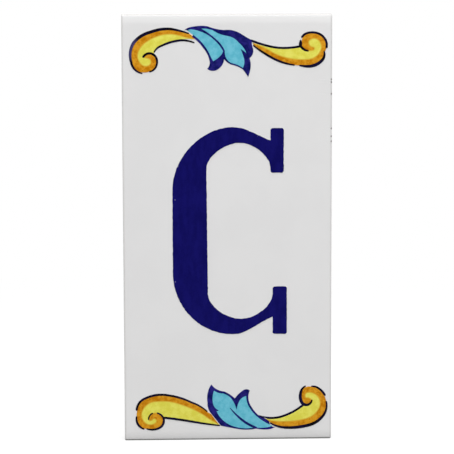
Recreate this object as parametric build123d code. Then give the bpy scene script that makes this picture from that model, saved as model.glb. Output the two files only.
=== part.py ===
from build123d import *
import os
from math import cos, radians, sin, sqrt

# Ceramic letter tile, in millimetres. It stands as on its wall: +Z up, the painted face looking along -Y,
# and the origin in the middle of the back, where the tile meets the wall.

# Tile body: pressed, glazed, with cushioned short edges and cut long edges
tile_width = 73.0
tile_height = 150.0
tile_thickness = 7.0
cushion_width = 3.4
cushion_slope = 8.0
edge_radius = 0.8
arris_radius = 0.45
foot_chamfer = 0.6

# Keying pockets pressed into the back
pocket_columns = 2
pocket_rows = 4
pocket_depth = 0.8
pocket_border = 6.0
pocket_land = 5.0
pocket_draft = 20.0

# Chips knocked out of the right-hand arris, by their distance from the top edge
chip_drops = (22.65, 23.65, 27.7, 39.75, 42.5, 44.25)
chip_radius = 0.4
chip_bite = 0.12

# Enamel painted on the glaze
enamel_thickness = 0.12
brush_fine = 0.5
brush_mid = 0.78
brush_full = 1.1

# Room around the two bands of ornament
side_gap = 0.65
end_gap = 0.2

# Capital letter
letter_gap = 16.8
letter_width = 40.0
letter_shift = 0.8
letter_drop = 0.6
upper_stem_width = 11.9
lower_stem_width = 12.25
stem_straight = 29.0
bow_reach = 21.2
bow_thickness = 5.5
counter_reach = 11.7
counter_depth = 9.0
serif_corner = 0.5
upper_serif_width = 4.65
upper_serif_height = 15.6
upper_serif_drop = 0.4
upper_serif_setback = 1.1
upper_beak_drop = 4.7
lower_serif_width = 5.0
lower_serif_height = 16.9
lower_beak_drop = 6.1
beak_rise = 1.7
beak_handle = 4.7

# How full a quarter of a bow is: 0.55 is an ellipse
upper_bow_fullness = 0.52
lower_bow_fullness = 0.555
upper_counter_fullness = 0.465
lower_counter_fullness = 0.475

# The ornament is drawn about the middle of its band, for a tile of this half width, and fitted to the tile.
# drawn_outer and drawn_inner are how far it reaches towards the tile's short edge and towards the letter.
drawn_half_width = 35.4
drawn_outer = 8.4
drawn_inner = 9.7

ornament_scale = (tile_width / 2 - arris_radius - side_gap) / drawn_half_width
band_line = tile_height / 2 - cushion_width - end_gap - drawn_outer * ornament_scale
letter_height = 2 * (band_line - drawn_inner * ornament_scale - letter_gap)

face_plane = Plane.XZ.offset(tile_thickness)
upper_band = Pos(0, band_line)
lower_band = Pos(0, -band_line)


def tile_section():
    """The tile cut from top to bottom: flat back, square ends, face falling away in a cushion at both ends.

    A cushion is a wide arc that leaves the face and a tight one that takes over at the cushion's slope and turns
    into the end.
    """
    end = tile_height / 2
    face = -tile_thickness
    flat = end - cushion_width
    slope = radians(cushion_slope)
    cushion_radius = (cushion_width - edge_radius * (1 - sin(slope))) / sin(slope)
    shoulder = face + cushion_radius * (1 - cos(slope)) + edge_radius * cos(slope)
    turn = 90 - cushion_slope
    return make_face(
        [
            Line((face, -flat), (face, flat)),
            CenterArc((face + cushion_radius, flat), cushion_radius, 180, -cushion_slope),
            CenterArc((shoulder, end - edge_radius), edge_radius, 180 - cushion_slope, -turn),
            Line((shoulder, end), (-foot_chamfer, end)),
            Line((-foot_chamfer, end), (0, end - foot_chamfer)),
            Line((0, end - foot_chamfer), (0, foot_chamfer - end)),
            Line((0, foot_chamfer - end), (-foot_chamfer, -end)),
            Line((-foot_chamfer, -end), (shoulder, -end)),
            CenterArc((shoulder, edge_radius - end), edge_radius, 270, -turn),
            CenterArc((face + cushion_radius, -flat), cushion_radius, 180 + cushion_slope, -cushion_slope),
        ]
    )


def keying_pockets():
    """Shallow drafted pockets that give the mortar a hold, with one unbroken land around them."""
    width = (tile_width - 2 * pocket_border - (pocket_columns - 1) * pocket_land) / pocket_columns
    height = (tile_height - 2 * pocket_border - (pocket_rows - 1) * pocket_land) / pocket_rows
    places = GridLocations(width + pocket_land, height + pocket_land, pocket_columns, pocket_rows)
    pocket = extrude(Plane.XZ * Rectangle(width, height), pocket_depth, taper=pocket_draft)
    return [Pos(place.position.X, 0, place.position.Y) * pocket for place in places]


def arris_chips():
    """Small scooped bites out of the right-hand front arris, each the round of a cylinder laid across it."""
    arris_depth = arris_radius * (sqrt(2) - 1)
    out = (chip_radius - chip_bite - arris_depth) / sqrt(2)
    scoop = Rot(Z=45) * Rot(Y=90) * Cylinder(chip_radius, 4 * chip_radius)
    return [Pos(tile_width / 2 + out, -tile_thickness - out, tile_height / 2 - drop) * scoop for drop in chip_drops]


def tile_body():
    """The one-piece ceramic body."""
    blank = extrude(Plane.YZ * tile_section(), tile_width / 2, both=True)
    face_edges = blank.faces().sort_by(Axis.Y)[0].edges().filter_by(Axis.Z)
    return fillet(face_edges, arris_radius) - keying_pockets() - arris_chips()


def drawn(points):
    """Points of the ornament drawing, at the size it has on the tile."""
    return [Vector(x, z) * ornament_scale for x, z in points]


def stations(guide, stops):
    """How far along a smooth guide each of its points lies, spread afresh where that makes their number odd."""
    marks = [guide.param_at_point(stop) for stop in stops]
    last = len(marks) - 1
    count = 2 * (len(marks) // 2)
    spread = []
    for step in range(count + 1):
        before = min(step * last // count, last - 1)
        share = step * last / count - before
        spread.append(marks[before] * (1 - share) + marks[before + 1] * share)
    return spread


def arc_run(places):
    """Arcs through an odd number of places, three to an arc."""
    return [ThreePointArc(*places[first : first + 3]) for first in range(0, len(places) - 2, 2)]


def curve_through(points):
    """A run of arcs through drawn points, or a straight line if there are two."""
    stops = drawn(points)
    if len(stops) == 2:
        return [Line(*stops)]
    guide = Spline(*stops)
    return arc_run([guide @ along for along in stations(guide, stops)])


def field(*stretches):
    """A painted field. Each stretch is a curve that starts where the one before it ends and stops at a corner."""
    edges = []
    corner = stretches[-1][-1]
    for stretch in stretches:
        edges += curve_through([corner, *stretch])
        corner = stretch[-1]
    return make_face(edges)


def brush_line(points, start, middle, end):
    """A painted line with pointed tips, as wide as the brush was pressed at its start, middle and end."""
    stops = drawn(points)
    spine = Spline(*stops)
    left = []
    right = []
    for along in stations(spine, stops):
        width = (
            start * (1 - along) * (1 - 2 * along)
            + middle * 4 * along * (1 - along)
            + end * along * (2 * along - 1)
        )
        heading = spine % along
        across = Vector(-heading.Y, heading.X) * (width / 2)
        left.append(spine @ along + across)
        right.append(spine @ along - across)
    first_tip = spine @ 0 - (spine % 0) * (start / 2)
    last_tip = spine @ 1 + (spine % 1) * (end / 2)
    tips = [
        Line(left[-1], last_tip),
        Line(last_tip, right[-1]),
        Line(right[0], first_tip),
        Line(first_tip, left[0]),
    ]
    return make_face([*arc_run(left), *arc_run(right), *tips])


def scroll(tail, neck, hook, outer, curl, divide, lower):
    """The orange and yellow fields of one scroll.

    The outer edge runs from the tail round to the neck, where the volute closes on the body. The curl goes on
    from there to the hook inside the volute. The line that divides orange from yellow comes back from the hook
    to the tail, and the lower edge closes the yellow from the neck to the tail.
    """
    outer_edge = curve_through([tail, *outer, neck])
    curl_edge = curve_through([neck, *curl, hook])
    divide_edge = curve_through([hook, *divide, tail])
    lower_edge = curve_through([neck, *lower, tail])
    orange = make_face([*outer_edge, *curl_edge, *divide_edge])
    yellow = make_face([*curl_edge, *divide_edge, *lower_edge])
    return orange, yellow


def upper_left_scroll():
    """Scroll that rolls down into the upper left corner."""
    orange, yellow = scroll(
        tail=(-11.2, 3.4),
        neck=(-25.3, -2.1),
        hook=(-29.0, -2.75),
        outer=[
            (-12.2, 4.7), (-15, 5.8), (-20, 6.85), (-25, 6.25), (-29, 4.7), (-31.6, 2.7), (-33.1, -0.2),
            (-33.2, -3.8), (-31.7, -7), (-29.2, -8), (-26.8, -7.7), (-25, -6.6), (-24.2, -4.6),
        ],
        curl=[(-26.2, -1.55), (-27.3, -1.4), (-28.3, -1.9)],
        divide=[
            (-27.9, -3.05), (-26.9, -3.3), (-26.4, -4.3), (-27, -5.5), (-28.5, -5.75), (-30, -4.8), (-30.9, -2.4),
            (-30.2, 0.1), (-28.5, 2), (-26, 3.6), (-23, 4.75), (-20, 5.15), (-17, 4.8), (-14, 3.95),
        ],
        lower=[(-25.1, -1.1), (-24.3, 0.15), (-22.5, 1.3), (-19.5, 2.6), (-16.5, 3.35), (-14, 3.5)],
    )
    lines = [
        brush_line(
            [
                (-13.3, 5.4), (-16, 6.25), (-20, 7), (-24, 6.6), (-28, 5.3), (-31.4, 3.3), (-33.2, 0.3),
                (-33.3, -3.9), (-32, -6.9), (-29.5, -8.3),
            ],
            brush_fine, brush_full, brush_fine,
        ),
        brush_line(
            [(-25.2, -1), (-24.4, 0.1), (-22.5, 1.25), (-19.5, 2.4), (-16, 3.05), (-13, 2.75), (-11.4, 2.25)],
            brush_fine, brush_mid, brush_fine,
        ),
        brush_line(
            [
                (-29, -2.7), (-28.3, -1.9), (-27, -1.4), (-25.4, -1.9), (-24.4, -3.2), (-24.25, -4.8),
                (-25.2, -6.9), (-26.8, -7.75),
            ],
            brush_mid, brush_mid, brush_fine,
        ),
    ]
    return orange, yellow, lines


def upper_right_scroll():
    """Scroll that rises out of the leaf and rolls up into the upper right corner."""
    orange, yellow = scroll(
        tail=(8.9, 2.1),
        neck=(26.2, 0.2),
        hook=(29.7, -0.6),
        outer=[
            (9.4, 1), (11.5, -0.55), (15.5, -3), (19.5, -4.75), (23, -5.6), (26, -5.85), (29, -5.85),
            (31.7, -4.9), (33.3, -3.2), (34, -1.1), (34.4, 1.4), (33.6, 3.7), (31.6, 5.3), (29.3, 5.7),
            (27.2, 5), (26, 3.2), (25.9, 1.4),
        ],
        curl=[(27.1, -0.5), (28.3, -0.75)],
        divide=[
            (30.3, -0.1), (29.9, 0.6), (28.6, 1.3), (28.4, 2.6), (29.7, 3.45), (31.4, 3.1), (32.6, 1.4),
            (32.3, -0.9), (30.8, -2.7), (28.5, -3.6), (25, -3.7), (21, -3.15), (17.5, -2), (14.5, -0.4), (11.5, 1.05),
        ],
        lower=[(25.4, 0.65), (23, 0.4), (20, 0.1), (17, 0.1), (14, 0.6), (11, 1.45)],
    )
    lines = [
        brush_line(
            [(8.3, 2.9), (12, 1.6), (16, 0.6), (20, 0.25), (23, 0.45), (25.4, 0.8)],
            brush_mid, brush_mid, brush_mid,
        ),
        brush_line([(25.4, 0.9), (25.5, 2), (25.5, 2.9)], brush_full, brush_full, brush_fine),
        brush_line([(25.5, 0.9), (26.2, 0.1), (27.1, -0.5), (28.2, -0.75)], brush_mid, brush_mid, brush_fine),
        brush_line(
            [
                (26, 4), (26.9, 4.95), (28.3, 5.5), (30.2, 5.6), (32.2, 5), (33.8, 3.6), (34.5, 2.1), (34.5, 0.4),
            ],
            brush_mid, brush_mid, brush_mid,
        ),
        brush_line(
            [(33.7, -1), (33.8, -2.4), (32.9, -4.1), (31, -5.5), (28.6, -6.1), (26.8, -6.05), (25.2, -5.8)],
            brush_fine, brush_full, brush_fine,
        ),
        brush_line(
            [(23.3, -5.65), (19.5, -4.8), (15.5, -3.05), (11.5, -0.6), (9.2, 1.1)],
            brush_fine, brush_mid, brush_fine,
        ),
    ]
    return orange, yellow, lines


def lower_left_scroll():
    """Scroll that leaves the leaf to the left and rolls down into the lower left corner."""
    orange, yellow = scroll(
        tail=(-4.1, -6.4),
        neck=(-22.8, -3.8),
        hook=(-27.8, -4.9),
        outer=[
            (-5.7, -4.3), (-7.3, -2), (-11, 0.6), (-15, 2.45), (-19, 3.75), (-24, 4.3), (-28, 3.6), (-31, 1.7),
            (-32.1, -1), (-32.2, -4.4), (-31.2, -6.7), (-29, -7.75), (-26.3, -8), (-24.1, -7.4), (-22.8, -5.8),
        ],
        curl=[(-23.6, -2.8), (-25.7, -2), (-27.4, -2.7), (-28.1, -3.9)],
        divide=[
            (-27.2, -4.8), (-26.4, -4.2), (-25.5, -4.5), (-25.6, -5.5), (-27.1, -6.2), (-29, -5.8), (-30.3, -4),
            (-30.3, -1.5), (-28.8, 0.7), (-25, 2), (-21, 1.95), (-17.5, 1.15), (-13, -0.6), (-9, -2.7), (-6.2, -4.8),
        ],
        lower=[(-20, -4.1), (-15, -4.9), (-10, -5.8), (-6.5, -6.3)],
    )
    lines = [
        brush_line(
            [
                (-7.4, -1.7), (-9, -0.4), (-13, 1.65), (-17, 3.3), (-21, 4.2), (-25, 4.4), (-29, 3.3),
                (-31.6, 1.2), (-32.3, -0.9),
            ],
            brush_fine, brush_mid, brush_mid,
        ),
        brush_line(
            [(-32.3, -3.3), (-32.35, -4.7), (-31.5, -6.6), (-29.8, -7.8)],
            brush_fine, brush_mid, brush_fine,
        ),
        brush_line(
            [
                (-28.7, -7.8), (-26.3, -8.05), (-24.2, -7.45), (-22.85, -5.8), (-22.8, -4.1), (-23.7, -2.8),
                (-25, -2.1),
            ],
            brush_fine, brush_mid, brush_fine,
        ),
        brush_line([(-26.7, -2.2), (-27.6, -2.9), (-28.1, -4.4)], brush_fine, brush_fine, brush_fine),
        brush_line(
            [(-22.6, -3.8), (-15, -4.9), (-10, -5.8), (-3, -6.8)],
            brush_mid, brush_mid, brush_fine,
        ),
    ]
    return orange, yellow, lines


def lower_right_scroll():
    """Scroll that passes under the leaf and rolls up into the lower right corner."""
    orange, yellow = scroll(
        tail=(13.2, -4.7),
        neck=(26.4, 0.75),
        hook=(29.6, 2.2),
        outer=[
            (15, -5.9), (17.5, -7.1), (21, -7.6), (25, -7.5), (29, -6.7), (32.3, -4.9), (34.3, -2.4), (34.85, 0.5),
            (34.4, 3), (32.8, 5.4), (30, 6.75), (27.6, 6.75), (26, 5.4), (25.65, 3.2),
        ],
        curl=[(27.5, 0.35), (28.8, 0.7)],
        divide=[
            (28.8, 2.8), (27.7, 2.9), (27.3, 3.7), (28.3, 4.75), (30.2, 4.5), (32, 3), (32.6, 0.9), (32, -1.2),
            (30.3, -3.2), (27.5, -4.6), (24, -5.25), (20, -5.5), (16, -5.3),
        ],
        lower=[(25.5, -0.6), (22, -2.6), (18.5, -3.9), (15.5, -4.35)],
    )
    lines = [
        brush_line(
            [(10.8, -3.6), (13.5, -4.15), (16, -4.3), (19, -3.75), (23, -2.1), (26.6, 0.3)],
            brush_mid, brush_mid, brush_mid,
        ),
        brush_line(
            [
                (27.4, 7.1), (26.1, 5.8), (25.6, 4), (25.8, 1.9), (26.7, 0.6), (28.3, 0.4), (29.4, 1.2), (29.7, 2),
            ],
            brush_fine, brush_full, brush_fine,
        ),
        brush_line([(29.6, 7), (31, 6.8), (33, 5.5), (34.3, 3.8)], brush_fine, brush_mid, brush_mid),
        brush_line(
            [
                (34.8, 1.5), (34.9, -0.8), (34, -3.2), (31.9, -5.4), (28.5, -7), (24.5, -7.7), (20, -7.75),
                (17, -7.1), (15, -6.1),
            ],
            brush_fine, brush_full, brush_fine,
        ),
    ]
    return orange, yellow, lines


def upper_leaf():
    """Leaf in the middle of the upper band: its whole outline, and the turquoise fields left open in it."""
    outline = field(
        [
            (-13, 7.5), (-10.5, 7.9), (-8.5, 8.05), (-5.5, 7.5), (-2.5, 6.6), (1, 6.55), (4, 5.7), (6, 4.5), (8.6, 3),
        ],
        [(8.6, 1.9), (9.05, 0), (8.9, -1.8), (7.8, -3.2)],
        [(8.2, -5.2), (8, -7.5), (7.3, -9.7)],
        [(6.4, -8.3), (4.8, -6.5), (2, -5.6), (0.2, -4.7), (-1, -3.5)],
        [(-1.4, -5), (-3, -6.9), (-5, -7.55), (-6.9, -6.8)],
        [(-6.1, -5.5), (-6.1, -3.7), (-7.3, -1), (-9.3, 1.75), (-12.2, 4.3)],
        [(-11.6, 5.2), (-12.6, 6.45)],
        [(-13.6, 6.95), (-14.7, 6.8)],
    )
    left_field = field(
        [(-12, 6.75), (-9.5, 6.15), (-6.7, 4.9), (-4.5, 3.2), (-2.3, 0.8), (-1.35, -0.7)],
        [(-1.9, -1.9), (-3.2, -3.2), (-4.8, -4.2)],
        [(-5.4, -3.15), (-6.4, -1), (-8, 1.4), (-10, 3.6), (-12, 5.1), (-14.2, 6.7)],
    )
    right_field = field(
        [(-6.5, 6.9), (-4.5, 6.3), (-1.5, 4.75), (1, 4.35), (3.5, 2.7), (5.5, 0.7), (6.75, -1.5)],
        [(5.7, -0.7), (4.75, 0)],
        [(5.5, -2), (6, -4.2), (5.5, -6.6)],
        [(4, -5.7), (1.5, -4.9), (-0.4, -3), (-0.75, -0.6)],
        [(-1.7, 1.1), (-3.9, 3.5), (-6.3, 5.4), (-8.9, 7.05)],
    )
    return outline, [left_field, right_field]


def lower_leaf():
    """Leaf in the middle of the lower band: its whole outline, and the turquoise field left open in it."""
    outline = field(
        [(-6.9, 6), (-7.35, 3.8), (-7.25, 1.4)],
        [(-7.1, -0.3), (-5.3, -3.4), (-2.5, -6.9)],
        [(0.5, -7.55), (4, -8.2), (7, -8.4), (10, -8.05)],
        [(11.5, -8.3), (13.5, -8.4), (15.5, -8.1), (16.8, -7.4)],
        [(15, -6.9), (14.7, -6.2)],
        [(14.6, -5.6), (12, -4.25), (9.65, -2.1), (7.85, 0.6), (7.2, 3.4), (7.7, 5.7)],
        [(6.7, 6.15), (4.5, 5.2), (2.4, 2.9)],
        [(1, 4.1), (-1.2, 5.4), (-3.8, 6.15), (-5.9, 8)],
    )
    open_field = field(
        [(-3.4, 5), (-1, 4.5), (1.4, 2.5), (2.5, 0.5), (3, -1.2)],
        [(3.4, 0.5), (4.4, 2.5), (6.45, 3.75)],
        [(6.7, 1.7), (8, -1.15), (10.4, -3.8), (13, -5.7), (15.8, -7.1)],
        [(13, -7.75), (9.6, -7.6), (6.5, -7.95), (2.5, -7.35), (-1.3, -5.4), (-4.1, -1.6)],
        [(-3.8, -1.6), (-3.3, -1.35)],
        [(-4.8, -0.1), (-5.5, 2.8), (-4.95, 5.75)],
    )
    vein = brush_line([(0.8, -0.6), (3.5, -3.6), (6.5, -6), (10, -7.8)], brush_fine / 2, brush_mid, brush_mid)
    return outline, [open_field - vein]


def letter_arm(side, stem_width, serif_size, serif_setback, serif_drop, beak_drop, bow_fullness, counter_fullness):
    """The curves of one end of the letter, from the stem round to its serif and back, and that serif.

    side is 1 for the upper end and -1 for the lower one, whose heights are taken downwards.
    """
    left = -letter_width / 2
    end = letter_height / 2
    serif_width, serif_height = serif_size
    serif_right = letter_width / 2 - serif_setback
    serif_left = serif_right - serif_width
    serif_middle = serif_right - serif_width / 2
    bow_rise = end - stem_straight / 2
    beak = end - beak_drop
    counter_top = end - bow_thickness
    counter_foot = counter_top - counter_depth
    stem_right = left + stem_width
    counter_crest = stem_right + counter_reach
    counter_run = serif_left - counter_crest
    bow_crest = left + bow_reach

    def up(x, z):
        return (x, side * z)

    curves = [
        Bezier(
            up(left, end - bow_rise),
            up(left, end - bow_rise * (1 - bow_fullness)),
            up(bow_crest - bow_reach * bow_fullness, end),
            up(bow_crest, end),
        ),
        Bezier(
            up(bow_crest, end),
            up(bow_crest + beak_handle, end),
            up(serif_left - beak_handle, beak + beak_rise),
            up(serif_left, beak),
        ),
        Line(up(serif_left, beak), up(serif_middle, beak)),
        Line(up(serif_middle, beak), up(serif_middle, counter_foot)),
        Line(up(serif_middle, counter_foot), up(serif_left, counter_foot)),
        Bezier(
            up(serif_left, counter_foot),
            up(serif_left, counter_foot + counter_depth * counter_fullness),
            up(counter_crest + counter_run * counter_fullness, counter_top),
            up(counter_crest, counter_top),
        ),
        Bezier(
            up(counter_crest, counter_top),
            up(counter_crest - counter_reach * counter_fullness, counter_top),
            up(stem_right, counter_foot + counter_depth * counter_fullness),
            up(stem_right, counter_foot),
        ),
    ]
    serif_place = Pos(*up(serif_middle, end - serif_drop - serif_height / 2))
    serif = chamfer(Rectangle(serif_width, serif_height).vertices(), serif_corner)
    return curves, serif_place * serif


def capital_letter():
    """The capital, with a heavy stem on the left and a tall serif at each end."""
    upper_curves, upper_serif = letter_arm(
        side=1,
        stem_width=upper_stem_width,
        serif_size=(upper_serif_width, upper_serif_height),
        serif_setback=upper_serif_setback,
        serif_drop=upper_serif_drop,
        beak_drop=upper_beak_drop,
        bow_fullness=upper_bow_fullness,
        counter_fullness=upper_counter_fullness,
    )
    lower_curves, lower_serif = letter_arm(
        side=-1,
        stem_width=lower_stem_width,
        serif_size=(lower_serif_width, lower_serif_height),
        serif_setback=0,
        serif_drop=0,
        beak_drop=lower_beak_drop,
        bow_fullness=lower_bow_fullness,
        counter_fullness=lower_counter_fullness,
    )
    stem_outside = Line(upper_curves[0] @ 0, lower_curves[0] @ 0)
    stem_inside = Line(upper_curves[-1] @ 1, lower_curves[-1] @ 1)
    body = make_face([*upper_curves, *lower_curves, stem_outside, stem_inside])
    return Pos(letter_shift, -letter_drop) * (body + upper_serif + lower_serif)


def band(leaf, scrolls, place):
    """One band of ornament: its fields of each colour, joined or cut so that none lies over another."""
    leaf_outline, leaf_fields = leaf
    lines = []
    for orange, yellow, scroll_lines in scrolls:
        lines += scroll_lines
    covers = [leaf_outline, *leaf_fields, *lines]
    return {
        "scroll_orange": [place * (orange - covers) for orange, yellow, scroll_lines in scrolls],
        "scroll_yellow": [place * (yellow - covers) for orange, yellow, scroll_lines in scrolls],
        "scroll_outline": [place * (lines[0] + lines[1:] - [leaf_outline, *leaf_fields])],
        "leaf_turquoise": [place * leaf_field for leaf_field in leaf_fields],
        "leaf_blue": [place * (leaf_outline - leaf_fields)],
    }


def enamel(fields):
    """Painted fields raised to the thickness of the enamel on the tile's face."""
    solids = []
    for painted in fields:
        for face in painted.faces():
            solids.append(extrude(face_plane * face, enamel_thickness).solid())
    return Compound(children=solids)


bands = [
    band(upper_leaf(), [upper_left_scroll(), upper_right_scroll()], upper_band),
    band(lower_leaf(), [lower_left_scroll(), lower_right_scroll()], lower_band),
]
nodes = {"tile": tile_body(), "letter": enamel([capital_letter()])}
for colour in bands[0]:
    nodes[colour] = enamel(bands[0][colour] + bands[1][colour])

os.makedirs("parts", exist_ok=True)
for name, shape in nodes.items():
    export_step(shape, f"parts/{name}.step")
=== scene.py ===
import math

import bmesh
import bpy
from bpy.props import FloatProperty, FloatVectorProperty, IntProperty, PointerProperty
from mathutils import Matrix, Vector, noise
from mathutils.bvhtree import BVHTree
from mathutils.geometry import intersect_point_line


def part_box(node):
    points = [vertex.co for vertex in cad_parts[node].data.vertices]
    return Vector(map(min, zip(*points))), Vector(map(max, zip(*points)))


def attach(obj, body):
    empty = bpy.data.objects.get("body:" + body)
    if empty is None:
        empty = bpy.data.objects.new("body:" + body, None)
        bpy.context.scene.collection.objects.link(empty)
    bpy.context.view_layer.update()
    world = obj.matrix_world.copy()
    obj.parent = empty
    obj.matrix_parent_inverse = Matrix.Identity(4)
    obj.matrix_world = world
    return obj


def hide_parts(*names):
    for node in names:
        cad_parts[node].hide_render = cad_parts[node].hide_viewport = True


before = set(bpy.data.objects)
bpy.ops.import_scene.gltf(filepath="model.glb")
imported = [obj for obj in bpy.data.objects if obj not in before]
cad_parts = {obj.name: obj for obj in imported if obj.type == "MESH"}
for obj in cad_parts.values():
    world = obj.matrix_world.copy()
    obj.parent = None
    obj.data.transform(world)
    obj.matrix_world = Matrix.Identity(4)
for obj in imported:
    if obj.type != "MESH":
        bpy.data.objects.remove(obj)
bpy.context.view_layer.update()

bl_info = {
    "name": "Ceramic letter tile",
    "version": (1, 0, 0),
    "blender": (4, 5, 0),
    "location": "View3D > Sidebar > Letter tile",
    "description": "Dresses the packed letter tile in glaze, clay and painted enamel, and sets its stage",
    "category": "Object",
}

TILE_LOW, TILE_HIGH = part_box("tile")
TILE_SIZE = TILE_HIGH - TILE_LOW
FACE_Y = TILE_LOW.y
MM = 0.001
X, Y, Z = range(3)

# Points closer together than TINY are taken for one, and points that were moved onto each other lie
# within TOUCH. Anything narrower than SLIVER is too thin to be seen.
TINY = 1e-6
TOUCH = 1e-7
SLIVER = 5e-6
# A direction with at least this share along an axis is taken to run along it.
PARALLEL = 0.999
# Edges that turn by more than this stay sharp.
SHARP_ANGLE = math.radians(35)
# The body's finishes, in the order of its material slots.
GLAZED, BARE, CHIPPED = range(3)
# Where the colours stand among the sockets of a Mix node.
FIRST_COLOUR, SECOND_COLOUR, MIXED_COLOUR = 6, 7, 2

# Short pulls that bring field ends to where the brush left them, in millimetres of x and z:
# the fields, the two ends of the line that is pulled, how far around it the pull is felt, and the pull.
PULLS = (
    (("scroll_orange", "scroll_yellow"), (-6.9, -65.55), (-4.1, -69.4), 1.0, (1.0, -0.17)),
    (("leaf_blue", "scroll_orange", "scroll_yellow"), (13.7, -67.5), (13.71, -67.5), 1.4, (-0.8, 0.14)),
    (("leaf_blue", "leaf_turquoise"), (-14.7, 69.85), (-13.3, 69.9), 0.45, (-0.2, -0.38)),
    (("leaf_turquoise",), (-14.34, 69.44), (-14.33, 69.44), 0.5, (0.4, 0.0)),
)
# Pale nicks in the letter, and where the outline of the upper left scroll is washed out, in the same way.
NICKS = ((-17.2, 22.3), (-18.3, 10.6), (-18.4, -18.3))
WASHED_PLACE = (-34.4, 63.5)


def size(name, description, default):
    """A length that a user may change, given here in millimetres."""
    return FloatProperty(
        name=name, description=description, default=default * MM, unit="LENGTH", precision=5
    )


def angle(name, description, degrees):
    """An angle that a user may change, given here in degrees."""
    return FloatProperty(
        name=name, description=description, default=math.radians(degrees), subtype="ANGLE", precision=3
    )


def power(name, description, default):
    """The power of a lamp that a user may change, in watts."""
    return FloatProperty(name=name, description=description, default=default, min=0, unit="POWER")


def location(name, description, default):
    """A point that a user may change, in metres."""
    return FloatVectorProperty(
        name=name, description=description, default=default, size=3, subtype="TRANSLATION", precision=5
    )


def colour(name, description, default):
    """A linear colour that a user may change."""
    return FloatVectorProperty(
        name=name, description=description, default=default, size=3, min=0, max=1, subtype="COLOR"
    )


class TileSettings(bpy.types.PropertyGroup):
    """Sizes and colours of the glazed body."""

    cushion_width: size("Cushion width", "How far the cushion of a short edge reaches into the face", 3.4)
    cushion_slope: angle("Cushion slope", "Slope that the face reaches before it turns over the edge", 8)
    edge_radius: size("Edge radius", "Rounding where a cushion turns over into the end", 0.8)
    arris_radius: size("Arris radius", "Rounding of the glaze along the long edges", 0.45)
    foot_chamfer: size("Foot chamfer", "Chamfer of the short edges at the back", 0.6)
    glaze_edge: size("Glaze edge", "How far the glaze runs down the cut sides", 0.55)
    glaze_foot: size("Glaze foot", "Where the glaze stops short of the back on the short edges", 0.9)
    pocket_depth: size("Pocket depth", "Depth of the keying pockets in the back", 0.8)
    pocket_border: size("Pocket border", "Land left around the pockets", 6.0)
    pocket_land: size("Pocket land", "Land left between two pockets", 5.0)
    pocket_draft: angle("Pocket draft", "Slope of the pocket walls", 20)
    pocket_columns: IntProperty(name="Pocket columns", description="Pockets side by side", default=2, min=1)
    pocket_rows: IntProperty(name="Pocket rows", description="Pockets one above another", default=4, min=1)
    chip_bite: size("Chip bite", "How deep a chip goes into the arris", 0.12)
    chip_length: size("Chip length", "How long a chip is along the arris", 0.57)
    chip_drops: FloatVectorProperty(
        name="Chip places", description="Distance of each chip from the top edge",
        default=(22.65 * MM, 23.65 * MM, 27.7 * MM, 39.75 * MM, 42.5 * MM, 44.25 * MM),
        size=6, unit="LENGTH", precision=5,
    )
    glaze_white: colour("Glaze white", "White of the fired glaze", (0.740, 0.737, 0.737))
    glaze_shade: colour("Glaze shade", "The glaze where it lies a little thinner", (0.726, 0.723, 0.724))
    # The thin glaze tone is partly real glaze thinning over the edges and partly painted shade where the
    # edges turn away from the light.
    edge_glaze_and_shade: colour("Thin glaze", "The glaze where it thins out over the edges", (0.50, 0.492, 0.475))
    # Foot shade is painted shade: a dark tone laid on the lowest edge of the face, where it turns under
    # away from the light.
    foot_shade: colour("Foot shade", "Colour of the soiled lower edge", (0.09, 0.088, 0.087))
    clay_pale: colour("Pale clay", "Colour of the bare clay body", (0.60, 0.565, 0.51))
    clay_dark: colour("Dark clay", "Colour of the clay in its pores and stains", (0.45, 0.405, 0.35))
    # Both chip colours are far darker than the bare clay: the clay laid bare, plus painted shade in the
    # hollows of the chips.
    chip_pale_shaded: colour("Pale chip", "Colour of the clay laid bare in a chip", (0.24, 0.23, 0.22))
    chip_dark_shaded: colour("Dark chip", "Colour of the deepest grains in a chip", (0.08, 0.075, 0.07))


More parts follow.
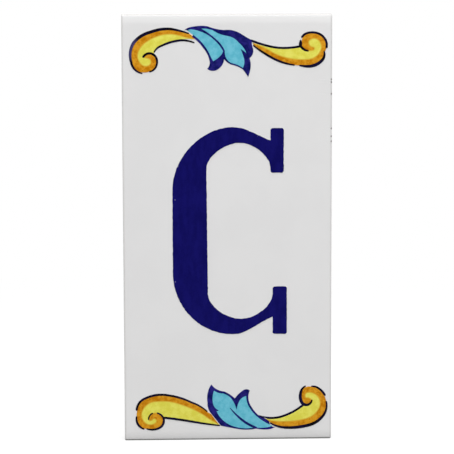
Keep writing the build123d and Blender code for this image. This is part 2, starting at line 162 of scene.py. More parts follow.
class EnamelSettings(bpy.types.PropertyGroup):
    """Colours of the painted decoration and the form of its rim."""

    rim_width: size("Rim width", "Width of the slope at the edge of the enamel", 0.05)
    rim_drop: size("Rim drop", "How far the enamel falls away at its edge", 0.07)
    sway: size("Sway", "How far the hand strayed along the edge of the letter", 0.12)
    sway_grain: size("Sway grain", "How far apart the strays lie along the edge of the letter", 1.0)
    run_grain: size("Run grain", "Longest edge of the mesh where one colour runs into another", 0.4)
    run_width: size("Run width", "How far one colour runs into another", 0.3)
    run_tone: colour("Run tone", "Colour where the yellow and the orange run together", (0.65, 0.45, 0.045))
    letter_deep: colour("Letter blue", "Cobalt blue of the letter", (0.0015, 0.0008, 0.088))
    letter_nick: colour("Letter nick", "Colour of the nicks in the letter", (0.22, 0.21, 0.36))
    letter_thin: colour("Thin letter blue", "Letter blue where the brush left less", (0.004, 0.003, 0.115))
    orange_deep: colour("Orange", "Ochre orange of the scrolls", (0.49, 0.175, 0.001))
    orange_thin: colour("Thin orange", "Orange where the brush left less", (0.67, 0.31, 0.016))
    orange_speck: colour("Orange specks", "Colour of the specks in the orange", (0.33, 0.10, 0.004))
    yellow_deep: colour("Yellow", "Lemon yellow of the scrolls", (0.68, 0.63, 0.072))
    yellow_thin: colour("Thin yellow", "Yellow where the brush left less", (0.76, 0.73, 0.125))
    outline_deep: colour("Outline", "Blue black of the scroll outlines", (0.0003, 0.0002, 0.002))
    outline_thin: colour("Thin outline", "Outline where the brush left less", (0.004, 0.003, 0.03))
    outline_wash: colour("Washed outline", "Outline where it is washed out", (0.05, 0.045, 0.13))
    turquoise_deep: colour("Turquoise", "Turquoise of the leaves", (0.10, 0.44, 0.57))
    turquoise_thin: colour("Thin turquoise", "Turquoise where the brush left less", (0.16, 0.52, 0.65))
    leaf_deep: colour("Leaf blue", "Blue of the leaf outlines", (0.001, 0.003, 0.085))
    leaf_thin: colour("Thin leaf blue", "Leaf blue where the brush left less", (0.020, 0.016, 0.185))


class StageSettings(bpy.types.PropertyGroup):
    """Floor, light and camera."""

    floor_radius: size("Floor radius", "Radius of the round floor", 8000)
    floor_white: colour("Floor white", "Colour of the floor as it is seen", (0.93, 0.93, 0.93))
    floor_bounce: colour("Floor bounce", "Light that the floor throws back up", (0.32, 0.32, 0.32))
    dark_reach: size("Dark reach", "How far around the tile the floor throws back less light", 1.6)
    paper_near: FloatProperty(
        name="White near", description="How far the floor beside the tile is lifted to white", default=0.75,
        subtype="FACTOR", min=0, max=1,
    )
    paper_fade: size("White from", "Distance from the tile at which the floor is plain white", 400)
    ambient: FloatProperty(name="Ambient", description="Even light from all round", default=0.72, min=0)
    key_power: power("Key", "Power of the soft lamp overhead", 7.5)
    key_place: location("Key place", "Where the lamp overhead hangs", (0.0, -0.25, 0.9))
    key_width: size("Key width", "Width of the lamp overhead", 700)
    fill_power: power("Fill", "Power of the soft lamp in front", 3.8)
    fill_place: location("Fill place", "Where the lamp in front stands", (0.25, -1.1, 0.55))
    fill_width: size("Fill width", "Width of the lamp in front", 900)
    lens: FloatProperty(name="Lens", description="Focal length", default=159.02, unit="CAMERA")
    sensor: FloatProperty(name="Sensor", description="Width of the sensor", default=36, unit="CAMERA")
    camera_place: location("Camera place", "Where the camera stands", (-0.02318, -0.70294, 0.08549))
    camera_azimuth: angle("Azimuth", "Turn of the view to the right", 1.893)
    camera_elevation: angle("Elevation", "How far the view looks down", 6.923)
    camera_roll: angle("Roll", "Lean of the camera", -0.167)


class Finish:
    """A procedural material on Object coordinates, with short ways to add patterns to it."""

    def __init__(self, name, roughness, specular):
        self.material = bpy.data.materials.new(name)
        self.material.use_nodes = True
        self.tree = self.material.node_tree
        self.shader = self.tree.nodes["Principled BSDF"]
        self.shader.inputs["Roughness"].default_value = roughness
        self.shader.inputs["Specular IOR Level"].default_value = specular
        self.place = self.tree.nodes.new("ShaderNodeTexCoord").outputs["Object"]

    def wire(self, value, socket):
        """Links a socket to a socket, or sets a plain value on it."""
        if isinstance(value, bpy.types.NodeSocket):
            self.tree.links.new(value, socket)
        else:
            socket.default_value = value

    def noise(self, grain, detail=2.0, roughness=0.5, stretch=(1, 1, 1)):
        """Soft noise whose patches are about as large as the grain, in metres."""
        mapping = self.tree.nodes.new("ShaderNodeMapping")
        mapping.inputs["Scale"].default_value = stretch
        self.wire(self.place, mapping.inputs["Vector"])
        texture = self.tree.nodes.new("ShaderNodeTexNoise")
        texture.inputs["Scale"].default_value = 1 / grain
        texture.inputs["Detail"].default_value = detail
        texture.inputs["Roughness"].default_value = roughness
        self.wire(mapping.outputs["Vector"], texture.inputs["Vector"])
        return texture.outputs["Fac"]

    def pores(self, spacing, radius):
        """Round pits scattered about as far apart as the spacing: 1 in a pit, 0 outside."""
        texture = self.tree.nodes.new("ShaderNodeTexVoronoi")
        texture.inputs["Scale"].default_value = 1 / spacing
        self.wire(self.place, texture.inputs["Vector"])
        return self.ramp(texture.outputs["Distance"], radius / spacing, 0.5 * radius / spacing)

    def spot(self, x, z, near, far):
        """1 around a place on the face, given in metres, falling to 0 from the near to the far distance."""
        node = self.tree.nodes.new("ShaderNodeVectorMath")
        node.operation = "DISTANCE"
        self.wire(self.place, node.inputs[0])
        node.inputs[1].default_value = (x, FACE_Y, z)
        return self.ramp(node.outputs["Value"], near, far, low=1.0, high=0.0)

    def stored(self, name):
        """A value stored on the points of the mesh."""
        node = self.tree.nodes.new("ShaderNodeAttribute")
        node.attribute_name = name
        return node.outputs["Fac"]

    def axis(self, name):
        """One of the Object coordinates, in metres."""
        split = self.tree.nodes.new("ShaderNodeSeparateXYZ")
        self.wire(self.place, split.inputs["Vector"])
        return split.outputs[name]

    def uneven_axis(self, name, grain, wander):
        """One of the Object coordinates with noise added, so that a line drawn by it wanders."""
        return self.math("ADD", self.axis(name), self.math("MULTIPLY", self.noise(grain), wander))

    def from_edge(self, name, length):
        """Distance from the nearer one of two edges that lie the length apart."""
        return self.math("SUBTRACT", length / 2, self.math("ABSOLUTE", self.axis(name)))

    def math(self, operation, first, second=0.0):
        """A sum on one or two values or sockets."""
        node = self.tree.nodes.new("ShaderNodeMath")
        node.operation = operation
        self.wire(first, node.inputs[0])
        self.wire(second, node.inputs[1])
        return node.outputs["Value"]

    def ramp(self, value, start, end, low=0.0, high=1.0):
        """Carries a value from low to high smoothly as it goes from start to end."""
        node = self.tree.nodes.new("ShaderNodeMapRange")
        node.interpolation_type = "SMOOTHSTEP"
        self.wire(value, node.inputs["Value"])
        for socket, number in zip(("From Min", "From Max", "To Min", "To Max"), (start, end, low, high)):
            node.inputs[socket].default_value = number
        return node.outputs["Result"]

    def blend(self, share, first, second):
        """One colour going over into another as the share goes from 0 to 1."""
        node = self.tree.nodes.new("ShaderNodeMix")
        node.data_type = "RGBA"
        self.wire(share, node.inputs["Factor"])
        for value, socket in ((first, FIRST_COLOUR), (second, SECOND_COLOUR)):
            is_linked = isinstance(value, bpy.types.NodeSocket)
            self.wire(value if is_linked else (*value, 1.0), node.inputs[socket])
        return node.outputs[MIXED_COLOUR]

    def colour(self, value):
        """Gives the surface its colour."""
        self.wire(value, self.shader.inputs["Base Color"])

    def rough(self, value):
        """Gives the surface its roughness."""
        self.wire(value, self.shader.inputs["Roughness"])

    def bump(self, height, depth, normal=None):
        """Raises the surface by a height of 0 to 1 times the depth, in metres."""
        node = self.tree.nodes.new("ShaderNodeBump")
        node.inputs["Distance"].default_value = depth
        self.wire(height, node.inputs["Height"])
        if normal:
            self.wire(normal, node.inputs["Normal"])
        self.wire(node.outputs["Normal"], self.shader.inputs["Normal"])
        return node.outputs["Normal"]


def white_glaze(settings):
    """Glossy white glaze: a little uneven, thinner and darker over the edges, partly as painted shade, with
    painted shade along its lower edge, and ending short of the back.
    """
    gloss, dull = 0.14, 0.7
    cloud, swell, ripple = 14 * MM, 9 * MM, 0.9 * MM
    finish = Finish("white_glaze", roughness=gloss, specular=0.2)
    clouds = finish.ramp(finish.noise(cloud, detail=3), 0.35, 0.65)
    face = finish.blend(clouds, settings.glaze_white, settings.glaze_shade)
    # Towards the long sides and the short ends the glaze goes over into a darker tone: partly the glaze
    # thinning over the edges, partly painted shade on the turned edges.
    side_thinning_and_shade = finish.ramp(finish.from_edge("X", TILE_SIZE.x), 0.9 * MM, 0.1 * MM, low=0.0, high=0.45)
    end_thinning_and_shade = finish.ramp(finish.from_edge("Z", TILE_SIZE.z), 0.7 * MM, 0.1 * MM, low=0.0, high=0.85)
    face = finish.blend(finish.math("MAXIMUM", side_thinning_and_shade, end_thinning_and_shade), face, settings.edge_glaze_and_shade)
    # Painted shade: the lowest half millimetre of the face goes dark where the foot turns under; it is also
    # made duller there.
    from_below = finish.math("ADD", finish.axis("Z"), TILE_SIZE.z / 2)
    shaded = finish.ramp(from_below, 0.48 * MM, 0.22 * MM)
    face = finish.blend(finish.math("MULTIPLY", shaded, 0.9), face, settings.foot_shade)
    foot_line = finish.uneven_axis("Y", grain=5 * MM, wander=1.2 * MM)
    foot = finish.ramp(foot_line, 0.5 * MM - settings.glaze_foot, 0.8 * MM - settings.glaze_foot)
    finish.colour(finish.blend(foot, face, settings.clay_pale))
    finish.rough(finish.ramp(finish.math("MAXIMUM", foot, shaded), 0, 1, low=gloss, high=dull))
    waves = finish.bump(finish.noise(swell, detail=1), 0.008 * MM)
    finish.bump(finish.noise(ripple, detail=1), 0.0015 * MM, waves)
    return finish.material


def bare_clay(settings):
    """Bare clay body with pores and stains, and the edge of the glaze run over it at the front."""
    gloss, dull = 0.2, 0.8
    wander, fade = 0.7 * MM, 0.05 * MM
    finish = Finish("bare_clay", roughness=dull, specular=0.2)
    stains = finish.ramp(finish.noise(6 * MM, detail=5, roughness=0.65), 0.38, 0.68)
    grains = finish.ramp(finish.noise(0.5 * MM, detail=3), 0.45, 0.75)
    pits = finish.pores(spacing=1.6 * MM, radius=0.25 * MM)
    clay = settings.clay_pale
    for marks, strength in ((stains, 0.5), (grains, 0.35), (pits, 0.6)):
        clay = finish.blend(finish.math("MULTIPLY", marks, strength), clay, settings.clay_dark)
    line = FACE_Y + settings.glaze_edge + wander / 2
    bare = finish.ramp(finish.uneven_axis("Y", 3 * MM, wander), line - fade, line + fade)
    finish.colour(finish.blend(bare, settings.glaze_white, clay))
    finish.rough(finish.ramp(bare, 0, 1, low=gloss, high=dull))
    height = finish.math("SUBTRACT", finish.noise(0.6 * MM, detail=4), finish.math("MULTIPLY", pits, 0.8))
    finish.bump(finish.math("MULTIPLY", height, bare), 0.05 * MM)
    return finish.material


def chip_clay_and_shade(settings):
    """Rough clay laid bare in the chips, painted much darker than the clay body as shade in the hollows."""
    finish = Finish("chip_clay_and_shade", roughness=0.85, specular=0.2)
    grain = finish.noise(0.15 * MM, detail=3)
    finish.colour(finish.blend(finish.ramp(grain, 0.35, 0.65), settings.chip_pale_shaded, settings.chip_dark_shaded))
    finish.bump(grain, 0.03 * MM)
    return finish.material


class Enamel(Finish):
    """Fired enamel: a deep colour with thinner patches and fine grain, glossy and slightly uneven."""

    def __init__(self, name, deep, thin, patch, contrast, streak=(1, 1, 1)):
        super().__init__(name, roughness=0.16, specular=0.05)
        patch_share, grain_share = 0.75, 0.25
        patches = self.noise(patch, detail=4, roughness=0.6, stretch=streak)
        grains = self.noise(0.35 * MM, detail=2)
        strokes = self.math("MULTIPLY", patches, patch_share)
        mixed = self.math("ADD", strokes, self.math("MULTIPLY", grains, grain_share))
        self.paint = self.blend(self.ramp(mixed, 0.5 - contrast, 0.5 + contrast), deep, thin)
        self.colour(self.paint)
        self.rough(self.ramp(patches, 0.3, 0.7, low=0.12, high=0.22))
        self.bump(patches, 0.012 * MM)

    def tint(self, share, tone):
        """Goes over into another tone as the share goes to 1."""
        self.paint = self.blend(share, self.paint, tone)
        self.colour(self.paint)

    def speckle(self, spacing, radius, tone):
        """Scatters specks of another tone."""
        strength = 0.7
        self.tint(self.math("MULTIPLY", self.pores(spacing, radius), strength), tone)

    def run_into(self, width, tone):
        """Goes over into a shared tone towards the neighbouring field, along an uneven line."""
        wander = self.math("MULTIPLY", self.noise(0.8 * MM, detail=2), 0.6 * width)
        away = self.math("ADD", self.stored("run"), wander)
        self.tint(self.ramp(away, 0.3 * width, 1.3 * width, low=1.0, high=0.0), tone)


def finished_object(name, mesh, materials):
    """Puts a mesh into the scene as an object with its sharp edges kept, riding on the tile."""
    for material in materials:
        mesh.materials.append(material)
    mesh.set_sharp_from_angle(angle=SHARP_ANGLE)
    piece = bpy.data.objects.new(name, mesh)
    bpy.context.scene.collection.objects.link(piece)
    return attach(piece, "root")


def edges_where(bm, test):
    """The edges whose two ends both pass the test."""
    return [edge for edge in bm.edges if all(test(vert.co) for vert in edge.verts)]


def runs_along(edge, axis):
    """Whether an edge is parallel to an axis."""
    run = (edge.verts[1].co - edge.verts[0].co).normalized()
    return abs(run[axis]) > PARALLEL


def round_edges(bm, edges, offset, segments):
    """Rounds edges with the bevel operator."""
    bmesh.ops.bevel(
        bm, geom=edges, offset=offset, offset_type="OFFSET", segments=segments, profile=0.5, affect="EDGES",
        material=-1, clamp_overlap=True,
    )


def cut_across(bm, axis, place):
    """Cuts the whole body by a plane square to an axis."""
    point = Vector((0, 0, 0))
    normal = Vector((0, 0, 0))
    point[axis] = place
    normal[axis] = 1
    geometry = [*bm.verts, *bm.edges, *bm.faces]
    bmesh.ops.bisect_plane(bm, geom=geometry, dist=TINY, plane_co=point, plane_no=normal)


def cushioned_blank(settings):
    """The tile before its back is pressed: cushioned short edges, soft arrises, chamfered foot."""
    bm = bmesh.new()
    half_width, half_height = TILE_SIZE.x / 2, TILE_SIZE.z / 2
    slope = settings.cushion_slope
    wide_radius = (settings.cushion_width - settings.edge_radius * (1 - math.sin(slope))) / math.sin(slope)
    wide_reach = wide_radius * math.tan(slope / 2)
    tight_reach = settings.edge_radius * math.tan(math.pi / 4 - slope / 2)
    shoulder = FACE_Y + wide_radius * (1 - math.cos(slope)) + settings.edge_radius * math.cos(slope)
    cushion_segments, arris_segments = 8, 5

    def across(test):
        """The edges that run across the tile in front of its back and whose ends pass the test."""
        edges = edges_where(bm, lambda co: co.y < -TINY and test(co))
        return [edge for edge in edges if runs_along(edge, X)]

    # A chamfer of the wanted slope is cut at 45 degrees while the blank is stretched in depth.
    stretch = 1 / math.tan(slope)
    bmesh.ops.create_cube(bm, size=1)
    bmesh.ops.scale(bm, vec=(TILE_SIZE.x, TILE_SIZE.y * stretch, TILE_SIZE.z), verts=bm.verts)
    bmesh.ops.translate(bm, vec=(0, -TILE_SIZE.y * stretch / 2, 0), verts=bm.verts)
    round_edges(bm, across(lambda co: True), settings.cushion_width - wide_reach, 1)
    bmesh.ops.scale(bm, vec=(1, 1 / stretch, 1), verts=bm.verts)
    round_edges(bm, across(lambda co: abs(co.z) < half_height - TINY), wide_reach, cushion_segments)
    round_edges(bm, across(lambda co: abs(co.z) > half_height - TINY), tight_reach, cushion_segments)
    bmesh.ops.remove_doubles(bm, verts=bm.verts, dist=TINY)
    sides = edges_where(bm, lambda co: abs(co.x) > half_width - TINY and co.y < shoulder + TINY)
    sides = [edge for edge in sides if not runs_along(edge, X)]
    round_edges(bm, sides, settings.arris_radius, arris_segments)
    foot = edges_where(bm, lambda co: co.y > -TINY and abs(co.z) > half_height - TINY)
    round_edges(bm, [edge for edge in foot if runs_along(edge, X)], settings.foot_chamfer, 1)
    return bm


def pocket_spans(length, border, land, count):
    """Start and end of each pocket along one side of the back."""
    pocket = (length - 2 * border - (count - 1) * land) / count
    starts = [-length / 2 + border + step * (pocket + land) for step in range(count)]
    return [(start, start + pocket) for start in starts]


def press_pockets(bm, settings):
    """Presses the drafted keying pockets into the back."""
    border, land = settings.pocket_border, settings.pocket_land
    columns = pocket_spans(TILE_SIZE.x, border, land, settings.pocket_columns)
    rows = pocket_spans(TILE_SIZE.z, border, land, settings.pocket_rows)
    for axis, spans in ((X, columns), (Z, rows)):
        for span in spans:
            for place in span:
                cut_across(bm, axis, place)

    def inside(centre):
        in_column = any(start < centre.x < end for start, end in columns)
        return in_column and any(start < centre.z < end for start, end in rows)

    backs = [face for face in bm.faces if face.normal.y > PARALLEL]
    floors = [face for face in backs if inside(face.calc_center_median())]
    bmesh.ops.inset_individual(
        bm, faces=floors, thickness=settings.pocket_depth * math.tan(settings.pocket_draft),
        depth=-settings.pocket_depth, use_even_offset=True,
    )


def chip_arris(bm, settings):
    """Scoops the chips out of the right-hand front arris and gives back the faces they lay bare."""
    right = TILE_SIZE.x / 2
    half = settings.chip_length / 2
    reach = settings.arris_radius
    steps = 4
    # A point on the arris goes in about as far as the bite along both of its faces.
    deepest = 1.4 * settings.chip_bite
    inwards = Vector((-1, 1, 0)).normalized()
    for share in (0.8, 1):
        cut_across(bm, X, right - share * reach)
        cut_across(bm, Y, FACE_Y + share * reach)
    chips = set()
    for drop in settings.chip_drops:
        middle = TILE_HIGH.z - drop
        for step in range(-steps, steps + 1):
            cut_across(bm, Z, middle + half * step / steps)

        def in_chip(co):
            return abs(co.z - middle) < half and max(right - co.x, co.y - FACE_Y) < reach

        for vert in bm.verts:
            if in_chip(vert.co):
                along = (vert.co.z - middle) / half
                from_arris = max(right - vert.co.x, vert.co.y - FACE_Y)
                vert.co += deepest * (1 - along * along) * (1 - from_arris / reach) * inwards
        chips.update(face for face in bm.faces if in_chip(face.calc_center_median()))
    return chips


def body_finish(face, chips, pocket_depth):
    """Which of the body's finishes a face shows."""
    if face in chips:
        return CHIPPED
    turned_sideways, spare_depth = 0.95, 0.01 * MM
    on_side = abs(face.normal.x) > turned_sideways
    on_back = face.calc_center_median().y > -pocket_depth - spare_depth
    return BARE if on_side or on_back else GLAZED


def settle_order(bm):
    """Sorts points, edges and faces by where they lie, so that each run writes the same mesh."""
    weights = Vector((1, math.e, math.pi))
    bm.verts.sort(key=lambda vert: vert.co.dot(weights))
    bm.edges.sort(key=lambda edge: (edge.verts[0].co + edge.verts[1].co).dot(weights))
    bm.faces.sort(key=lambda face: face.calc_center_median().dot(weights))


class LETTERTILE_OT_body(bpy.types.Operator):
    """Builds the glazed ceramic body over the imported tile"""

    bl_idname = "lettertile.body"
    bl_label = "Tile body"

    def execute(self, context):
        settings = context.scene.letter_tile
        bm = cushioned_blank(settings)
        press_pockets(bm, settings)
        chips = chip_arris(bm, settings)
        bmesh.ops.recalc_face_normals(bm, faces=bm.faces)
        for face in bm.faces:
            face.smooth = True
            face.material_index = body_finish(face, chips, settings.pocket_depth)
        settle_order(bm)
        mesh = bpy.data.meshes.new("tile_body")
        bm.to_mesh(mesh)
        bm.free()
        materials = [white_glaze(settings), bare_clay(settings), chip_clay_and_shade(settings)]
        body = finished_object("tile_body", mesh, materials)
        normals = body.modifiers.new("Flat faces stay flat", "WEIGHTED_NORMAL")
        normals.keep_sharp = True
        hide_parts("tile")
        return {"FINISHED"}


def is_level(part):
    """Whether all the points of an edge or a face lie at one height over the tile."""
    heights = [vert.co.y for vert in part.verts]
    return max(heights) - min(heights) < TINY


def splits_level(edge):
    """Whether an edge has only level faces beside it."""
    return all(is_level(face) for face in edge.link_faces)


def outline_edges(bm):
    """The level edges along the top and the foot of the sides of a field."""
    return [edge for edge in bm.edges if is_level(edge) and not splits_level(edge)]


def is_spare(edge):
    """Whether an edge only splits a front or a foot, or runs aslant over a side."""
    run = edge.verts[1].co - edge.verts[0].co
    is_upright = math.hypot(run.x, run.z) < TINY
    return splits_level(edge) or not (is_level(edge) or is_upright)


def pull_around(bm, start, end, reach, pull):
    """Pulls what lies around a line on the face, less and less away from it."""
    longest, cuts = 0.4 * MM, 5

    def share(co):
        flat = Vector((co.x, 0, co.z))
        along = intersect_point_line(flat, start, end)[1]
        along = min(max(along, 0), 1)
        near = max(0, 1 - (flat - start.lerp(end, along)).length / reach)
        return near * near * (3 - 2 * near)

    pulled = [edge for edge in outline_edges(bm) if any(share(vert.co) > 0 for vert in edge.verts)]
    long_edges = [edge for edge in pulled if edge.calc_length() > longest]
    bmesh.ops.subdivide_edges(bm, edges=long_edges, cuts=cuts)
    for vert in bm.verts:
        vert.co += share(vert.co) * pull


def painted_field(node):
    """A merged copy of a packed field, with its ends pulled to where the brush left them."""
    bm = bmesh.new()
    bm.from_mesh(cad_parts[node].data)
    bmesh.ops.remove_doubles(bm, verts=bm.verts, dist=TINY)
    bmesh.ops.dissolve_edges(bm, edges=[edge for edge in bm.edges if is_spare(edge)], use_verts=False)
    for nodes, start, end, reach, pull in PULLS:
        if node in nodes:
            start, end, pull = (MM * Vector((x, 0, z)) for x, z in (start, end, pull))
            pull_around(bm, start, end, reach * MM, pull)
    return bm


def sway_outline(bm, sway, grain):
    """Lets the outline stray a little, as a hand does along a long edge."""
    most_halvings = 8
    for step in range(most_halvings):
        long_edges = [edge for edge in outline_edges(bm) if edge.calc_length() > grain / 2]
        if not long_edges:
            break
        bmesh.ops.subdivide_edges(bm, edges=long_edges, cuts=1)
    other_noise = Vector((0, 7.3, 0))
    for vert in bm.verts:
        spot = Vector((vert.co.x, 0, vert.co.z)) / grain
        vert.co.x += sway * noise.noise(spot)
        vert.co.z += sway * noise.noise(spot + other_noise)


def front_faces(bm, top):
    """The faces that lie in the plane of the front."""
    return [face for face in bm.faces if all(vert.co.y < top + TINY for vert in face.verts)]


def rim_points(bm, top):
    """The points of the front that lie on the outline of a field."""
    front = set(front_faces(bm, top))
    outline = [edge for edge in bm.edges if sum(face in front for face in edge.link_faces) == 1]
    return {vert for edge in outline for vert in edge.verts}


def side_walls(bm):
    """The sides of a field, to measure distances from its outline."""
    bm.verts.index_update()
    walls = [[vert.index for vert in face.verts] for face in bm.faces if not is_level(face)]
    return BVHTree.FromPolygons([vert.co for vert in bm.verts], walls)


def distance_to(tree, co):
    """How far a point lies from the nearest face of a tree."""
    return tree.find_nearest(co)[3]


def take_back_slopes(bm, top, walls, width):
    """Takes the slope of the rim back to the outline at sharp corners and where a field is too narrow."""
    longest, least_room = 2 * width, 0.9 * width
    rim = rim_points(bm, top)
    for edge in bm.edges:
        outer = [vert for vert in edge.verts if vert in rim]
        if len(outer) == 1 and is_level(edge):
            inner = edge.other_vert(outer[0])
            if edge.calc_length() > longest or distance_to(walls, inner.co) < least_room:
                inner.co = outer[0].co
    bmesh.ops.remove_doubles(bm, verts=bm.verts, dist=TOUCH)


def measure_run(bm, top, tree, grain):
    """Refines the front and stores at each of its points how far the neighbouring field is away."""
    most_halvings = 6
    bmesh.ops.triangulate(bm, faces=front_faces(bm, top))
    bmesh.ops.dissolve_degenerate(bm, dist=SLIVER, edges=bm.edges)
    for step in range(most_halvings):
        front = bmesh.ops.triangulate(bm, faces=front_faces(bm, top))["faces"]
        edges = dict.fromkeys(edge for face in front for edge in face.edges)
        long_edges = [edge for edge in edges if edge.calc_length() > grain]
        if not long_edges:
            break
        bmesh.ops.subdivide_edges(bm, edges=long_edges, cuts=1)
    layer = bm.verts.layers.float.new("run")
    for vert in bm.verts:
        vert[layer] = distance_to(tree, vert.co)


def enamel_piece(context, node, finish, neighbour=None, sway=0):
    """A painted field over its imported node, with its rim sloped like the edge of a brushed coat."""
    settings = context.scene.letter_enamel
    bm = painted_field(node)
    if sway:
        sway_outline(bm, sway, settings.sway_grain)
    top = min(vert.co.y for vert in bm.verts)
    front = front_faces(bm, top)
    walls = side_walls(bm)
    bmesh.ops.inset_region(
        bm, faces=front, thickness=settings.rim_width, use_even_offset=True, use_boundary=True
    )
    take_back_slopes(bm, top, walls, settings.rim_width)
    rim = rim_points(bm, top) - {vert for face in front for vert in face.verts}
    if neighbour:
        other = painted_field(neighbour)
        tree = BVHTree.FromBMesh(other)
        other.free()
        rim = {vert for vert in rim if distance_to(tree, vert.co) > settings.rim_width}
    bmesh.ops.translate(bm, vec=(0, settings.rim_drop, 0), verts=list(rim))
    if neighbour:
        measure_run(bm, top, tree, settings.run_grain)
    for vert in bm.verts:
        vert.co.y = max(vert.co.y, top)
    bmesh.ops.recalc_face_normals(bm, faces=bm.faces)
    mesh = bpy.data.meshes.new(node + "_enamel")
    bm.to_mesh(mesh)
    bm.free()
    packed_normals = mesh.attributes.get("custom_normal")
    if packed_normals:
        mesh.attributes.remove(packed_normals)
    piece = finished_object(node + "_enamel", mesh, [finish.material])
    least_level = 0.99
    for polygon in mesh.polygons:
        polygon.use_smooth = abs(polygon.normal.y) < least_level
    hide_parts(node)


class LETTERTILE_OT_letter(bpy.types.Operator):
    """Paints the capital letter"""

    bl_idname = "lettertile.letter"
    bl_label = "Capital letter"

    def execute(self, context):
        colours = context.scene.letter_enamel
        cobalt = Enamel(
            "letter_cobalt", colours.letter_deep, colours.letter_thin, patch=2.4 * MM, contrast=0.12,
            streak=(1, 1, 0.35),
        )
        for x, z in NICKS:
            nick = cobalt.spot(x * MM, z * MM, near=0.1 * MM, far=0.3 * MM)
            cobalt.tint(nick, colours.letter_nick)
        enamel_piece(context, "letter", cobalt, sway=colours.sway)
        return {"FINISHED"}


class LETTERTILE_OT_scrolls(bpy.types.Operator):
    """Paints the yellow and orange scrolls and their dark outlines"""

    bl_idname = "lettertile.scrolls"
    bl_label = "Scrolls"

    def execute(self, context):
        colours = context.scene.letter_enamel
        ochre = Enamel(
            "scroll_ochre", colours.orange_deep, colours.orange_thin, patch=1.6 * MM, contrast=0.1
        )
        ochre.speckle(spacing=1.7 * MM, radius=0.3 * MM, tone=colours.orange_speck)
        ochre.run_into(colours.run_width, colours.run_tone)
        lemon = Enamel(
            "scroll_lemon", colours.yellow_deep, colours.yellow_thin, patch=2.6 * MM, contrast=0.12
        )
        lemon.run_into(colours.run_width, colours.run_tone)
        ink = Enamel("scroll_ink", colours.outline_deep, colours.outline_thin, patch=4 * MM, contrast=0.1)
        x, z = WASHED_PLACE
        ink.tint(ink.spot(x * MM, z * MM, near=2.5 * MM, far=5.5 * MM), colours.outline_wash)
        enamel_piece(context, "scroll_orange", ochre, neighbour="scroll_yellow")
        enamel_piece(context, "scroll_yellow", lemon, neighbour="scroll_orange")
        enamel_piece(context, "scroll_outline", ink)
        return {"FINISHED"}


class LETTERTILE_OT_leaves(bpy.types.Operator):
    """Paints the turquoise leaves and their blue outlines"""

    bl_idname = "lettertile.leaves"
    bl_label = "Leaves"

    def execute(self, context):
        colours = context.scene.letter_enamel
        wash = Enamel(
            "leaf_wash", colours.turquoise_deep, colours.turquoise_thin, patch=2.2 * MM, contrast=0.12
        )
        cobalt = Enamel("leaf_cobalt", colours.leaf_deep, colours.leaf_thin, patch=2.2 * MM, contrast=0.1)
        enamel_piece(context, "leaf_turquoise", wash)
        enamel_piece(context, "leaf_blue", cobalt)
        return {"FINISHED"}


def soft_lamp(name, place, width, watts):
    """A square soft lamp that looks at the origin."""
    lamp = bpy.data.lights.new(name, "AREA")
    lamp.shape = "SQUARE"
    lamp.size = width
    lamp.energy = watts
    holder = bpy.data.objects.new(name, lamp)
    holder.location = place
    origin = Vector((0, 0, 0))
    holder.rotation_euler = (origin - Vector(place)).to_track_quat("-Z", "Y").to_euler()
    bpy.context.scene.collection.objects.link(holder)


def seen_directly(tree):
    """1 for what the camera sees, straight or in gloss or glass, 0 for the light that falls on things."""
    rays = tree.nodes.new("ShaderNodeLightPath")
    seen = rays.outputs["Is Camera Ray"]
    for kind in ("Is Glossy Ray", "Is Transmission Ray"):
        either = tree.nodes.new("ShaderNodeMath")
        either.operation = "MAXIMUM"
        tree.links.new(seen, either.inputs[0])
        tree.links.new(rays.outputs[kind], either.inputs[1])
        seen = either.outputs["Value"]
    return seen


def white_surround(scene, ambient):
    """A world that is white to the camera and in reflections, and lights the tile evenly."""
    world = bpy.data.worlds.new("white_surround")
    world.use_nodes = True
    scene.world = world
    tree = world.node_tree
    background = tree.nodes["Background"]
    background.inputs["Color"].default_value = (1, 1, 1, 1)
    level = tree.nodes.new("ShaderNodeMapRange")
    level.inputs["To Min"].default_value = ambient
    level.inputs["To Max"].default_value = 1.0
    tree.links.new(seen_directly(tree), level.inputs["Value"])
    tree.links.new(level.outputs["Result"], background.inputs["Strength"])


def floor_paper(settings):
    """White paper that keeps the tile's shadow beside it and goes over into plain white further off."""
    finish = Finish("floor_paper", roughness=0.9, specular=0.0)
    tree = finish.tree
    seen = seen_directly(tree)
    fibres = finish.math("MULTIPLY", finish.noise(2 * MM, detail=3), 0.02)
    paper = finish.blend(fibres, settings.floor_white, settings.floor_bounce)
    in_front = finish.ramp(finish.axis("Y"), FACE_Y, FACE_Y - settings.dark_reach)
    behind = finish.ramp(finish.axis("Y"), 0, settings.dark_reach)
    bounce = finish.blend(in_front, (0, 0, 0), settings.floor_bounce)
    bounce = finish.blend(behind, bounce, settings.floor_white)
    finish.colour(finish.blend(seen, bounce, paper))
    distance = tree.nodes.new("ShaderNodeVectorMath")
    distance.operation = "LENGTH"
    finish.wire(finish.place, distance.inputs[0])
    away = distance.outputs["Value"]
    lift = finish.ramp(away, TILE_SIZE.z / 2, settings.paper_fade, low=settings.paper_near, high=1.0)
    white = tree.nodes.new("ShaderNodeEmission")
    mixed = tree.nodes.new("ShaderNodeMixShader")
    finish.wire(finish.math("MULTIPLY", lift, seen), mixed.inputs["Fac"])
    finish.wire(finish.shader.outputs["BSDF"], mixed.inputs[1])
    finish.wire(white.outputs["Emission"], mixed.inputs[2])
    finish.wire(mixed.outputs["Shader"], tree.nodes["Material Output"].inputs["Surface"])
    return finish.material


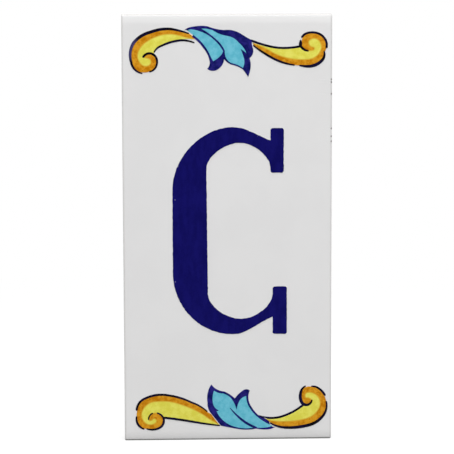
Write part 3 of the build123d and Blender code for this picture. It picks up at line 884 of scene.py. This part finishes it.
class LETTERTILE_OT_stage(bpy.types.Operator):
    """Sets the floor, the light and the camera"""

    bl_idname = "lettertile.stage"
    bl_label = "Stage"

    def execute(self, context):
        scene = context.scene
        settings = scene.letter_stage
        bm = bmesh.new()
        bmesh.ops.create_circle(bm, cap_ends=True, segments=96, radius=settings.floor_radius)
        bmesh.ops.translate(bm, vec=(0, 0, TILE_LOW.z), verts=bm.verts)
        mesh = bpy.data.meshes.new("floor")
        bm.to_mesh(mesh)
        bm.free()
        mesh.materials.append(floor_paper(settings))
        floor = bpy.data.objects.new("floor", mesh)
        scene.collection.objects.link(floor)

        white_surround(scene, settings.ambient)
        soft_lamp("overhead_lamp", settings.key_place, settings.key_width, settings.key_power)
        soft_lamp("front_lamp", settings.fill_place, settings.fill_width, settings.fill_power)

        lens = bpy.data.cameras.new("photo_camera")
        lens.lens = settings.lens
        lens.sensor_width = settings.sensor
        camera = bpy.data.objects.new("photo_camera", lens)
        camera.matrix_world = (
            Matrix.Translation(settings.camera_place)
            @ Matrix.Rotation(-settings.camera_azimuth, 4, "Z")
            @ Matrix.Rotation(math.pi / 2 - settings.camera_elevation, 4, "X")
            @ Matrix.Rotation(settings.camera_roll, 4, "Z")
        )
        scene.collection.objects.link(camera)
        scene.camera = camera
        scene.view_settings.view_transform = "Standard"
        return {"FINISHED"}


class LETTERTILE_PT_panel(bpy.types.Panel):
    """Lists the pieces of the letter tile"""

    bl_idname = "LETTERTILE_PT_panel"
    bl_label = "Letter tile"
    bl_space_type = "VIEW_3D"
    bl_region_type = "UI"
    bl_category = "Letter tile"

    def draw(self, context):
        for operator in OPERATORS:
            self.layout.operator(operator.bl_idname)
        for group in (context.scene.letter_tile, context.scene.letter_enamel, context.scene.letter_stage):
            box = self.layout.box()
            for name in group.bl_rna.properties.keys():
                if name not in ("rna_type", "name"):
                    box.prop(group, name)


OPERATORS = (
    LETTERTILE_OT_body,
    LETTERTILE_OT_letter,
    LETTERTILE_OT_scrolls,
    LETTERTILE_OT_leaves,
    LETTERTILE_OT_stage,
)
CLASSES = (TileSettings, EnamelSettings, StageSettings, *OPERATORS, LETTERTILE_PT_panel)


def register():
    for each in CLASSES:
        bpy.utils.register_class(each)
    bpy.types.Scene.letter_tile = PointerProperty(type=TileSettings)
    bpy.types.Scene.letter_enamel = PointerProperty(type=EnamelSettings)
    bpy.types.Scene.letter_stage = PointerProperty(type=StageSettings)


def unregister():
    del bpy.types.Scene.letter_stage
    del bpy.types.Scene.letter_enamel
    del bpy.types.Scene.letter_tile
    for each in reversed(CLASSES):
        bpy.utils.unregister_class(each)


def main():
    """Registers the add-on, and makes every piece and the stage."""
    register()
    bpy.ops.lettertile.body()
    bpy.ops.lettertile.letter()
    bpy.ops.lettertile.scrolls()
    bpy.ops.lettertile.leaves()
    bpy.ops.lettertile.stage()


if __name__ == "__main__":
    main()
